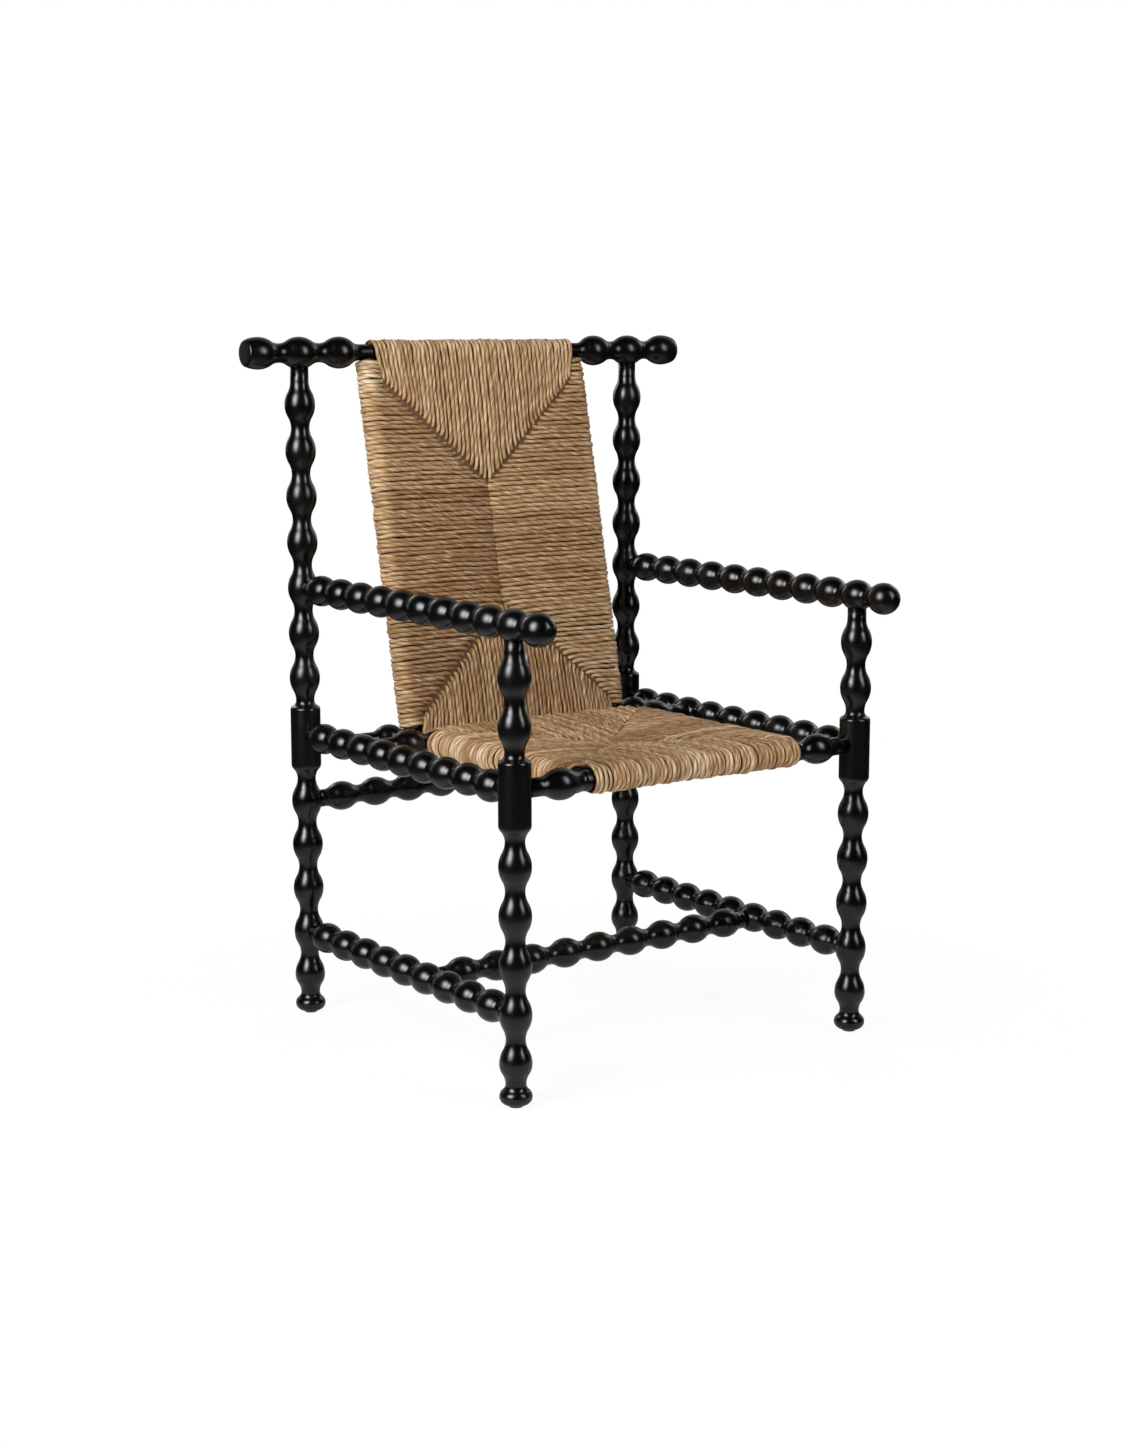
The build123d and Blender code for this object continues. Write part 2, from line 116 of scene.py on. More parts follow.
# %% Helpers for node groups
def node_group(name, inputs, outputs):
    """Empty shader group with float or vector sockets, given as (name, kind, default)."""
    group = bpy.data.node_groups.new(name, "ShaderNodeTree")
    for label, kind, default in inputs:
        socket = group.interface.new_socket(label, in_out="INPUT", socket_type=kind)
        if default is not None:
            socket.default_value = default
    for label, kind in outputs:
        group.interface.new_socket(label, in_out="OUTPUT", socket_type=kind)
    start = group.nodes.new("NodeGroupInput")
    end = group.nodes.new("NodeGroupOutput")
    return group, start.outputs, end.inputs


def add_node(tree, kind, links=(), **settings):
    """New node with its properties set and its inputs linked or filled by name or number."""
    node = tree.nodes.new(kind)
    for key, value in settings.items():
        setattr(node, key, value)
    for key, value in dict(links).items():
        if isinstance(value, bpy.types.NodeSocket):
            tree.links.new(value, node.inputs[key])
        else:
            node.inputs[key].default_value = value
    return node


def noise(tree, vector, scale, detail=3.0, rough=0.5):
    """Noise value over a vector."""
    links = {"Vector": vector, "Scale": scale, "Detail": detail, "Roughness": rough}
    return add_node(tree, "ShaderNodeTexNoise", links).outputs["Fac"]


def ramp(tree, value, low, high, out_low=0.0, out_high=1.0):
    """Value mapped from low..high to out_low..out_high, held at both ends."""
    links = {"Value": value, "From Min": low, "From Max": high,
             "To Min": out_low, "To Max": out_high}
    return add_node(tree, "ShaderNodeMapRange", links).outputs["Result"]


def math_node(tree, operation, first, second=0.0):
    """Result of one arithmetic step."""
    return add_node(tree, "ShaderNodeMath", {0: first, 1: second}, operation=operation).outputs[0]


# %% Group: long grain under a film of lacquer
def build_long_grain():
    """Noise over the lathe's own frame, drawn out along the axis into pores and ridges."""
    group, given, result = node_group(
        "long_grain",
        [("Vector", "NodeSocketVector", None), ("Pores per metre", "NodeSocketFloat", 900.0),
         ("Stretch", "NodeSocketFloat", 0.05)],
        [("Height", "NodeSocketFloat"), ("Pore", "NodeSocketFloat")])
    parts = add_node(group, "ShaderNodeSeparateXYZ", {0: given["Vector"]}).outputs
    along = math_node(group, "MULTIPLY", parts["Z"], given["Stretch"])
    drawn = add_node(group, "ShaderNodeCombineXYZ",
                     {"X": parts["X"], "Y": parts["Y"], "Z": along}).outputs[0]
    fine = noise(group, drawn, given["Pores per metre"], 2.0)
    broad = noise(group, drawn, 160.0, 2.0)
    height = math_node(group, "ADD", math_node(group, "MULTIPLY", fine, 0.6), broad)
    group.links.new(height, result["Height"])
    group.links.new(ramp(group, fine, 0.62, 0.75), result["Pore"])
    return group


long_grain = build_long_grain()
print("group:", long_grain.name)


# %% Group: dust and orange peel
def build_film_wear():
    """Slow cloudy noise for haze, and a fine ripple like the skin of a sprayed film."""
    group, given, result = node_group(
        "film_wear", [("Vector", "NodeSocketVector", None), ("Haze size", "NodeSocketFloat", 14.0)],
        [("Haze", "NodeSocketFloat"), ("Ripple", "NodeSocketFloat")])
    haze = noise(group, given["Vector"], given["Haze size"], 4.0, 0.6)
    group.links.new(ramp(group, haze, 0.35, 0.7), result["Haze"])
    group.links.new(noise(group, given["Vector"], 420.0, 1.0), result["Ripple"])
    return group


film_wear = build_film_wear()
print("group:", film_wear.name)


# %% Material: black lacquer
def new_material(name):
    """Node material with its principled shader, as (material, tree, shader)."""
    material = bpy.data.materials.new(name)
    material.use_nodes = True
    tree = material.node_tree
    return material, tree, tree.nodes["Principled BSDF"]


def place_group(tree, group, **inputs):
    """Instance of a node group, with its inputs linked or filled by name."""
    node = add_node(tree, "ShaderNodeGroup", node_tree=group)
    for key, value in inputs.items():
        socket = node.inputs[key.replace("_", " ")]
        if isinstance(value, bpy.types.NodeSocket):
            tree.links.new(value, socket)
        else:
            socket.default_value = value
    return node.outputs


def mix_colour(tree, factor, first, second):
    """One colour laid over another by a factor."""
    node = add_node(tree, "ShaderNodeMix", data_type="RGBA")
    for key, value in (("Factor_Float", factor), ("A_Color", first), ("B_Color", second)):
        socket = next(s for s in node.inputs if s.identifier == key)
        if isinstance(value, bpy.types.NodeSocket):
            tree.links.new(value, socket)
        else:
            socket.default_value = value
    return next(s for s in node.outputs if s.identifier == "Result_Color")


def black_lacquer():
    """Ebonised wood: near black, a little browner where the swells are rubbed."""
    material, tree, shader = new_material("black_lacquer")
    lathe = add_node(tree, "ShaderNodeAttribute", attribute_name="lathe").outputs["Vector"]
    swell = add_node(tree, "ShaderNodeAttribute", attribute_name="swell").outputs["Fac"]
    grain = place_group(tree, long_grain, Vector=lathe)
    film = place_group(tree, film_wear, Vector=lathe)
    rubbed = math_node(tree, "MULTIPLY", ramp(tree, swell, 0.75, 1.0), film["Haze"])
    stain = mix_colour(tree, grain["Pore"], (0.0012, 0.0011, 0.0011, 1),
                       (0.0006, 0.0006, 0.0006, 1))
    colour = mix_colour(tree, rubbed, stain, (0.0030, 0.0026, 0.0023, 1))
    tree.links.new(colour, shader.inputs["Base Color"])
    tree.links.new(ramp(tree, film["Haze"], 0.0, 1.0, 0.19, 0.27), shader.inputs["Roughness"])
    shader.inputs["IOR"].default_value = 1.48
    height = math_node(tree, "ADD", math_node(tree, "MULTIPLY", grain["Height"], 0.7),
                       math_node(tree, "MULTIPLY", film["Ripple"], 0.5))
    bump = add_node(tree, "ShaderNodeBump", {"Height": height, "Strength": 0.022,
                                             "Distance": 0.0003})
    tree.links.new(bump.outputs[0], shader.inputs["Normal"])
    return material


lacquer = black_lacquer()
print("material:", lacquer.name)

# %% [markdown]
# ## Turned wood
#
# A turning is one outline spun round an axis. The outline is a row of level places, bellies and
# necks, and between each pair two arcs meet: a full belly and a hollow cove. Arcs, and not a
# spline, because that is what a gouge rolled over on a turning blank leaves.


# %% Outline of a turning
def level_arc(level, other, rings):
    """Points of an arc that runs level with the axis at one place and passes through another.

    With a run a and a fall h between the two, the arc's radius is R = (a*a + h*h) / 2h. At
    angle t from the level place the arc has run R sin t and fallen R (1 - cos t).
    """
    run, fall = other[0] - level[0], other[1] - level[1]
    if abs(fall) < 1e-9:
        return np.linspace(level, other, rings)
    radius = (run**2 + fall**2) / (2 * fall)
    turn = np.linspace(0, math.asin(min(1, abs(run / radius))), rings)
    along = level[0] + math.copysign(abs(radius), run) * np.sin(turn)
    return np.column_stack([along, level[1] + radius * (1 - np.cos(turn))])


def turning(stations, share, rings=9):
    """Outline through level stations (distance, radius), where share is the bellies' part.

    The two arcs of a pair meet on the straight line between its stations, at the belly's
    share of the way from the fatter station.
    """
    rows = []
    for low, high in zip(np.array(stations[:-1], float), np.array(stations[1:], float)):
        part = share if low[1] > high[1] else 1 - share
        knee = low + part * (high - low)
        rows += [level_arc(low, knee, rings)[:-1], level_arc(high, knee, rings)[::-1][:-1]]
    return np.vstack(rows + [np.array(stations[-1:], float)])


def run_of(count, first, pitch, belly, neck):
    """Stations of a run of bobbins, from the first belly to the neck after the last."""
    middles = first + pitch * np.arange(count)
    return [pair for m in middles for pair in ((m, belly), (m + pitch / 2, neck))]


sample = turning(run_of(2, 0.0, bobbin_pitch, bobbin_r, neck_r), bobbin_share)
print("rings in two bobbins:", len(sample))


# %% Put arrays of points and faces into an object
def new_piece(name, points, quads, triangles, material, slot, replaced=(), **attributes):
    """Mesh object at the origin from arrays, riding on the chair, with named point attributes."""
    mesh = bpy.data.meshes.new(name)
    corners = np.concatenate([quads.ravel(), triangles.ravel()]).astype(np.int32)
    sizes = np.concatenate([np.full(len(quads), 4), np.full(len(triangles), 3)])
    mesh.vertices.add(len(points))
    mesh.vertices.foreach_set("co", points.astype(np.float32).ravel())
    mesh.loops.add(len(corners))
    mesh.loops.foreach_set("vertex_index", corners)
    mesh.polygons.add(len(sizes))
    mesh.polygons.foreach_set("loop_start", (np.cumsum(sizes) - sizes).astype(np.int32))
    mesh.polygons.foreach_set("use_smooth", np.ones(len(sizes), bool))
    mesh.update(calc_edges=True)
    mesh.validate()
    for label, values in attributes.items():
        kind, field = ("FLOAT", "value") if values.ndim == 1 else ("FLOAT_VECTOR", "vector")
        layer = mesh.attributes.new(label, kind, "POINT")
        layer.data.foreach_set(field, values.astype(np.float32).ravel())
    mesh.materials.append(material)
    piece = bpy.data.objects.new(name, mesh)
    bpy.context.scene.collection.objects.link(piece)
    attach(piece, "root")
    if replaced:
        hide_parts(*replaced)
    return piece


def ring_faces(rings, spokes, first):
    """Quads between neighbouring rings whose points are numbered from first, closed round."""
    ring, spoke = np.meshgrid(np.arange(rings - 1), np.arange(spokes), indexing="ij")
    a = first + ring * spokes + spoke
    b = first + ring * spokes + (spoke + 1) % spokes
    return np.stack([a, b, b + spokes, a + spokes], -1).reshape(-1, 4)


# %% Spin an outline round an axis
wood_faces = []
grain_step = np.array([0.37, 0.11, 0.23])  # from one piece's place in the grain to the next's


def spin(name, start, along, outline, spokes=48):
    """Surface of revolution, closed at both ends by a point on the axis.

    Point (i, j) is start + d[i] * along + r[i] * (cos t[j] * side + sin t[j] * up), where d and
    r are the outline's distances and radii and t goes once round.
    """
    along = np.array(along, float) / np.linalg.norm(along)
    side = np.cross((0, 0, 1.0) if abs(along[2]) < 0.9 else (0, 1.0, 0), along)
    side /= np.linalg.norm(side)
    up = np.cross(along, side)
    distance, radius = np.array(outline, float).T
    angle = np.linspace(0, 2 * math.pi, spokes, endpoint=False)
    local = np.stack([radius[:, None] * np.cos(angle), radius[:, None] * np.sin(angle),
                      distance[:, None] + 0 * angle], -1).reshape(-1, 3)
    ends = np.array([[0, 0, distance[0]], [0, 0, distance[-1]]])
    local = np.vstack([ends, local])
    points = np.array(start, float) + local @ np.stack([side, up, along])
    j = np.arange(spokes)
    near, far = 2 + j, 2 + (len(radius) - 1) * spokes + j
    caps = np.vstack([np.column_stack([0 * j, np.roll(near, -1), near]),
                      np.column_stack([0 * j + 1, far, np.roll(far, -1)])])
    swell = np.clip((np.hypot(local[:, 0], local[:, 1]) - neck_r) / (bobbin_r - neck_r), 0, 1)
    lathe = local + grain_step * len(wood_faces)
    piece = new_piece(name, points, ring_faces(len(radius), spokes, 2), caps, lacquer,
                      "black_lacquer", [name], lathe=lathe, swell=swell)
    wood_faces.append(len(piece.data.polygons))
    return piece


# %% [markdown]
# ## Posts
#
# Each post starts in a bun foot, runs up through its bobbins, swells into a plain round block
# where the seat rails enter, and goes on to a tenon under the arm or the crest rail. A neck's
# end is let into the round body that it meets, so no gap shows at a joint.


# %% Turn the posts
def floor_in(body_r, neck):
    """Distance from a round body's axis to the floor that a neck's end seats on."""
    return math.sqrt(body_r**2 - neck**2) - housing


def tenon(shoulder, tip, neck):
    """Outline of a neck's square shoulder and its round tenon, up to the tip."""
    return [(shoulder, neck), (shoulder, tenon_r), (tip, tenon_r), (tip, tenon_r / 2)]


def post_outline(bobbins_above, top_z, body_r):
    """Outline from the underside of the bun foot to the tip of the tenon."""
    foot = level_arc((bun_z, bun_r), (glide_height, bun_base_r), 10)[::-1]
    bun = turning([(bun_z, bun_r), (foot_neck_z, foot_neck_r), (first_bobbin_z, bobbin_r)], even)
    legs = turning(run_of(lower_bobbins, first_bobbin_z, bobbin_pitch, bobbin_r, neck_r),
                   bobbin_share)
    low_neck, high_neck = block_low_z - block_foot, block_top_z + block_head
    low_taper = turning([(low_neck, neck_r), (block_low_z, block_r)], block_share)
    high_taper = turning([(block_top_z, block_r), (high_neck, neck_r)], block_share)
    upper = turning([(high_neck, neck_r)] + run_of(bobbins_above, first_upper_z, bobbin_pitch,
                                                   bobbin_r, neck_r), bobbin_share)
    top = tenon(top_z - floor_in(body_r, neck_r), top_z - tenon_tip, neck_r)
    base = [(glide_height, bun_base_r / 2), (glide_height, bun_base_r)]
    return np.vstack([base, foot[:-1], bun[:-1], legs[:-1], low_taper, high_taper[:-1], upper, top])


sides = (("left", -1), ("right", 1))
for side, sign in sides:
    front = post_outline(arm_bobbins, arm_z, bead_r)
    spin(f"front_{side}_post", (sign * post_x, front_y, 0), (0, 0, 1), front)
    back = post_outline(back_bobbins, crest_z, crest_bobbin_r)
    spin(f"back_{side}_post", (sign * post_x, back_y, 0), (0, 0, 1), back)
print("post faces:", wood_faces)

# %% [markdown]
# ## Arms and beaded sides
#
# The arms and the side rails are rows of nearly round beads that almost touch. An arm ends in
# front in a knob, which keeps the small flat that the lathe's centre leaves.


# %% Turn the arms, side rails and side stretchers
half_side = (back_y - front_y) / 2
mid_y = (back_y + front_y) / 2


def railing(half_span, first, count, pitch, belly, neck, share, floor):
    """Outline of a rail with a run of swells and a tenon at each end, about its middle."""
    stations = [(first - pitch / 2, neck)] + run_of(count, first, pitch, belly, neck)
    right = tenon(half_span - floor, half_span - tenon_tip, neck)
    left = [(-d, r) for d, r in right][::-1]
    return np.vstack([left, turning(stations, share), right])


for side, sign in sides:
    for name, z, body_r in (("seat_rail", side_rail_z, block_r),
                            ("side_stretcher", side_stretcher_z, bobbin_r)):
        outline = railing(half_side, bead_pitch - half_side, beads_per_side - 1, bead_pitch,
                          bead_r, bead_neck_r, bead_share, floor_in(body_r, bead_neck_r))
        spin(f"{side}_{name}", (sign * post_x, mid_y, z), (0, 1, 0), outline)

    knob_middle = 2 * half_side + knob_reach
    beads = [(bead_pitch / 2, bead_neck_r)] + run_of(beads_per_side, bead_pitch, bead_pitch,
                                                     bead_r, bead_neck_r)
    body = turning(beads + [(knob_middle, knob_r)], bead_share)
    knob = level_arc((knob_middle, knob_r), (knob_middle + knob_bulge, knob_face_r), 16)
    rear = tenon(floor_in(bobbin_r, bead_neck_r), tenon_tip, bead_neck_r)[::-1]
    face = [(knob_middle + knob_bulge, knob_face_r / 2)]
    spin(f"{side}_arm", (sign * post_x, back_y, arm_z), (0, -1, 0),
         np.vstack([rear, body[:-1], knob, face]))
print("wood pieces so far:", len(wood_faces))

# %% [markdown]
# ## Stretchers and the rails inside the rush
#
# The cross and rear stretchers are runs of bobbins. The three rails that carry rush show only
# one bobbin at each end, and the crest rail shows three: between them they are plain rods, and
# the cord is wound round those.


# %% Turn the stretchers and rails
for name, y, z, body_r in (("cross_stretcher", cross_y, side_stretcher_z, bead_r),
                           ("rear_stretcher", back_y, rear_stretcher_z, bobbin_r)):
    outline = railing(post_x, cross_pitch - post_x, cross_pitches - 1, cross_pitch,
                      stretcher_bobbin_r, stretcher_neck_r, bobbin_share,
                      floor_in(body_r, stretcher_neck_r))
    spin(name, (0, y, z), (1, 0, 0), outline)

seat_rod = [(seat_rod_x, seat_core_r), (seat_neck_x, stretcher_neck_r)]
back_rod = [(back_rod_x, back_core_r)]
post_floor = floor_in(block_r, stretcher_neck_r)
for name, y, z, core, floor, tip_in in (
        ("front_seat_rail", front_y, front_rail_z, seat_rod, post_floor, tenon_tip),
        ("rear_seat_rail", seat_rear_y, rear_rail_z, seat_rod, rear_rail_floor, rear_rail_tip),
        ("back_bottom_rail", back_rail_y, rear_rail_z, back_rod, rear_rail_floor,
         rear_rail_tip)):
    half = turning(core + [(rail_bobbin_x, stretcher_bobbin_r),
                           (2 * rail_bobbin_x - core[-1][0], stretcher_neck_r)], bobbin_share)
    half = np.vstack([half, tenon(post_x - floor, post_x - tip_in, stretcher_neck_r)])
    spin(name, (0, y, z), (1, 0, 0), np.vstack([half[::-1] * (-1, 1), half]))

# %% Turn the crest rail
outer_x = post_x + bobbin_pitch
crest_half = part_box("crest_rail")[1].x


def rounded_end(belly, rim, rounding, rings=7):
    """Outline from a level belly to a flat end whose rim is rounded.

    The belly's arc has radius R. The rounding's circle lies inside it and touches the end's
    plane, so its centre is R - rounding from the arc's centre and rounding short of the end.
    """
    run, fall = rim[0] - belly[0], belly[1] - rim[1]
    big = (run**2 + fall**2) / (2 * fall)
    meet = math.asin((run - rounding) / (big - rounding))
    centre = np.array([rim[0] - rounding, belly[1] - big + (big - rounding) * math.cos(meet)])
    swept = np.linspace(0, meet, 12)[:-1]
    arc = np.column_stack([belly[0] + big * np.sin(swept), belly[1] - big * (1 - np.cos(swept))])
    turn = np.linspace(meet, math.pi / 2, rings)
    return np.vstack([arc, centre + rounding * np.column_stack([np.sin(turn), np.cos(turn)])])


end = rounded_end((outer_x, crest_bobbin_r), (crest_half, crest_rim_r), crest_end_round)
half = turning([(back_rod_x, back_core_r), (post_x - bobbin_pitch, crest_bobbin_r),
                (post_x - bobbin_pitch / 2, crest_neck_r), (post_x, crest_bobbin_r),
                (post_x + bobbin_pitch / 2, crest_neck_r), (outer_x, crest_bobbin_r)],
               bobbin_share)
half = np.vstack([half[:-1], end, [(crest_half, crest_rim_r / 3)]])
spin("crest_rail", (0, back_y, crest_z), (1, 0, 0), np.vstack([half[::-1] * (-1, 1), half]))
print("turned pieces:", len(wood_faces), "faces:", sum(wood_faces))

# %% [markdown]
# ## Rods and glides
#
# The four rods inside the weaves and the four glides under the feet keep their CAD solids:
# almost nothing of them shows. They get a finish that reads object coordinates.


# %% Finish for the plain CAD nodes
def plain_finish(name, colour, worn, roughness):
    """Principled finish for a small plain piece, with a cloudy variation."""
    material, tree, shader = new_material(name)
    place = add_node(tree, "ShaderNodeTexCoord").outputs["Object"]
    film = place_group(tree, film_wear, Vector=place, Haze_size=90.0)
    tree.links.new(mix_colour(tree, film["Haze"], colour, worn), shader.inputs["Base Color"])
    tree.links.new(ramp(tree, film["Haze"], 0.0, 1.0, roughness, roughness + 0.15),
                   shader.inputs["Roughness"])
    bump = add_node(tree, "ShaderNodeBump", {"Height": film["Ripple"], "Strength": 0.2,
                                             "Distance": 0.0003})
    tree.links.new(bump.outputs[0], shader.inputs["Normal"])
    return material


rod_finish = plain_finish("black_rod", (0.0105, 0.0098, 0.0095, 1), (0.016, 0.014, 0.013, 1), 0.4)
glide_finish = plain_finish("dark_glide", (0.10, 0.098, 0.094, 1), (0.16, 0.155, 0.148, 1), 0.45)
plain_nodes = {n: glide_finish if n.endswith("glide") else rod_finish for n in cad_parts
               if n.endswith(("glide", "inner_rail", "back_stile"))}
for name, finish in plain_nodes.items():
    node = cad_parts[name]
    node.data.materials.clear()
    node.data.materials.append(finish)
print("plain nodes:", sorted(plain_nodes))

# %% [markdown]
# ## Rush cord
#
# Rush is wound wet: two leaves twisted into one cord, led over a rail, back inside, and over
# the next rail, so each face shows four fields that meet in mitre seams. The cords of a field
# lie side by side, square to their rail, swing a little towards the middle where they reach the
# seam, and dive into it. Each cord here is a tube of its own on a grid of (place along, place
# round), because the shadows between round cords are what makes rush look like rush.


# %% Material: twisted rush
def twisted_rush():
    """Dried rush: straw to brown by cord, streaked along the twist, painted shade between leaves.

    The attribute lay holds a point's place round the twisted cord and its distance along it,
    tone holds the cord's own shade, raised on the rolls for wear and a painted sheen, and crown is
    1 on its outward side, 0 on its flanks, where painted shade darkens the cord.
    """
    material, tree, shader = new_material("rush")
    lay = add_node(tree, "ShaderNodeAttribute", attribute_name="lay").outputs["Vector"]
    tone = add_node(tree, "ShaderNodeAttribute", attribute_name="tone").outputs["Fac"]
    crown = add_node(tree, "ShaderNodeAttribute", attribute_name="crown").outputs["Fac"]
    parts = add_node(tree, "ShaderNodeSeparateXYZ", {0: lay}).outputs
    along = math_node(tree, "MULTIPLY", parts["Z"], 0.07)
    drawn = add_node(tree, "ShaderNodeCombineXYZ",
                     {"X": parts["X"], "Y": parts["Y"], "Z": along}).outputs[0]
    streak = noise(tree, drawn, 620.0, 3.0, 0.6)
    blotch = noise(tree, lay, 34.0, 3.0, 0.6)
    groove = ramp(tree, math_node(tree, "ABSOLUTE", parts["Y"]), 0.0024, 0.0031)
    # wear and painted sheen: whiter where the tone runs high, mostly on the rolls
    wear_and_sheen = math_node(tree, "MULTIPLY", ramp(tree, tone, 0.8, 1.3), 0.4)
    straw = mix_colour(tree, tone, (0.255, 0.130, 0.047, 1), (0.55, 0.375, 0.193, 1))
    browned = math_node(tree, "MULTIPLY", ramp(tree, blotch, 0.42, 0.70), 0.7)
    brown = mix_colour(tree, browned, straw, (0.24, 0.108, 0.033, 1))
    shine = math_node(tree, "MULTIPLY", ramp(tree, streak, 0.52, 0.72), 0.8)
    pale = mix_colour(tree, shine, brown, (0.78, 0.63, 0.44, 1))
    shadow = math_node(tree, "MULTIPLY", ramp(tree, streak, 0.46, 0.30), 0.6)
    dark = mix_colour(tree, shadow, pale, (0.15, 0.060, 0.015, 1))
    pale_wear_and_sheen = mix_colour(tree, wear_and_sheen, dark, (0.76, 0.65, 0.515, 1))
    # painted shade in the groove where the two leaves of the cord meet
    groove_painted_shade = mix_colour(tree, math_node(tree, "MULTIPLY", groove, 0.4), pale_wear_and_sheen,
                         (0.10, 0.055, 0.026, 1))
    # painted shade on the flanks where cords meet, a little less on the worn rolls
    flank_painted_shade = math_node(tree, "MULTIPLY", ramp(tree, crown, 0.85, 0.15, 0.0, 0.9),
                        math_node(tree, "SUBTRACT", 1.0, math_node(tree, "MULTIPLY", wear_and_sheen, 0.5)))
    colour = mix_colour(tree, flank_painted_shade, groove_painted_shade, (0.18, 0.068, 0.013, 1))
    tree.links.new(colour, shader.inputs["Base Color"])
    tree.links.new(ramp(tree, streak, 0.3, 0.7, 0.72, 0.5), shader.inputs["Roughness"])
    shader.inputs["Specular IOR Level"].default_value = 0.3
    height = math_node(tree, "SUBTRACT", streak, math_node(tree, "MULTIPLY", groove, 0.8))
    bump = add_node(tree, "ShaderNodeBump", {"Height": height, "Strength": 0.6,
                                             "Distance": 0.0009})
    tree.links.new(bump.outputs[0], shader.inputs["Normal"])
    return material


rush = twisted_rush()
print("material:", rush.name)

# %% Sizes of the cord and its lay
# Pitches, the cord's own sizes, then the weave's fullness between its two faces.
rail_cord_pitch, side_cord_pitch = 0.0068, 0.0067
cord_half_width, cord_half_height = 0.0033, 0.0031
twist_length, step, spokes_round = 0.042, 0.0030, 10
weave_half, fullness = 0.0062, 2.2
# How far a cord steps aside (pull, hook) and sinks (dive), and over what way.
rail_pull, rail_hook, rail_dive, rail_dive_way = 0.010, 0.0030, 0.0040, 0.0045
side_pull, side_hook, side_dive, side_dive_way = 0.003, 0.0035, 0.0070, 0.024
pull_from, pull_power, hook_way, hook_rise, corner_rise = 0.4, 1.4, 0.014, 0.03, 0.15
middle_dive, seam_lap, least_height = 0.0025, 0.001, 0.0004
# How unevenly hand-twisted cords lie, how thick they are, and how a roll flattens them.
sideways_waves = ((0.0006, 0.023), (0.0003, 0.0083))
outward_waves = ((0.0005, 0.017), (0.0002, 0.006))
lift_spread, thick_spread, lumpiness, leaf_groove, end_taper = 0.00025, 0.09, 0.05, 0.09, 0.55
roll_edge, roll_squeeze, roll_spread = 1.6, 0.3, 0.2
# How much of a cord's shade is shared, its own, or always there.
band_shade, own_shade, least_shade, streak_shift = 0.55, 0.45, 0.22, 0.83
rng = np.random.default_rng(7)
print("cords in 10 cm:", round(0.1 / rail_cord_pitch, 1), "and", round(0.1 / side_cord_pitch, 1))


# %% Lay a field of cords
def smooth(x):
    """0 below 0, 1 above 1, and level at both ends between."""
    x = np.clip(x, 0, 1)
    return x * x * (3 - 2 * x)


def field(places, roll_r, reach, apex, pull, hook, dive, dive_way, drop):
    """Centre lines of a field's cords, as (cord, distance along, s, w, side step, rings).

    Each cord is a loop that starts at the seam on one face, runs to the rail, goes half round
    it and comes back to the seam on the other face. s is the distance from the rail's axis, w
    the height over the weave's middle plane. Counted from the loop's middle, a point at
    distance q has gone round the rail while q < pi/2 * R, at s = -R cos(q/R) and
    w = R sin(q/R). Past that, with t = q - pi/2 * R, it lies on the full cushion of the weave,
    at s = t and w = R - drop * (t / apex)^fullness, and in the last dive_way before the seam
    it falls by dive * (way done)^2 more. It steps aside by pull, gently from the roll on, and
    by hook, the other way, just before the seam.
    """
    quarter = math.pi / 2 * roll_r
    length = 2 * (quarter + reach)
    rings = np.maximum(np.round(length / step).astype(int), 12)
    cord = np.repeat(np.arange(len(places)), rings)
    ring = np.arange(rings.sum()) - np.repeat(np.cumsum(rings) - rings, rings)
    along = (ring / (rings[cord] - 1) - 0.5) * length[cord]
    q = np.abs(along)
    t = np.maximum(q - quarter, 0)
    turn = np.minimum(q, quarter) / roll_r
    left = reach[cord] - t
    s = np.where(q < quarter, -roll_r * np.cos(turn), t)
    w = np.where(q < quarter, roll_r * np.sin(turn), roll_r - drop * (t / apex[cord])**fullness)
    w = np.maximum(w - dive[cord] * np.clip(1 - left / dive_way, 0, 1)**2, least_height)
    bend = pull_from * quarter
    gone = np.clip((q - bend) / (reach[cord] + quarter - bend), 0, 1)
    side = pull[cord] * gone**pull_power + hook[cord] * np.clip(1 - left / hook_way, 0, 1)**2
    return cord, along, s, w * np.where(along < 0, -1, 1), side, rings


print("a cord is", round(step * 1000, 1), "mm from ring to ring, with", spokes_round, "points")


# %% Twist the cords of a field into tubes
def ripple(along, waves, phases):
    """Sum of sine waves along a cord, each given as (swing, its length over 2 pi)."""
    return sum(swing * np.sin(along / length + phase)
               for (swing, length), phase in zip(waves, phases))


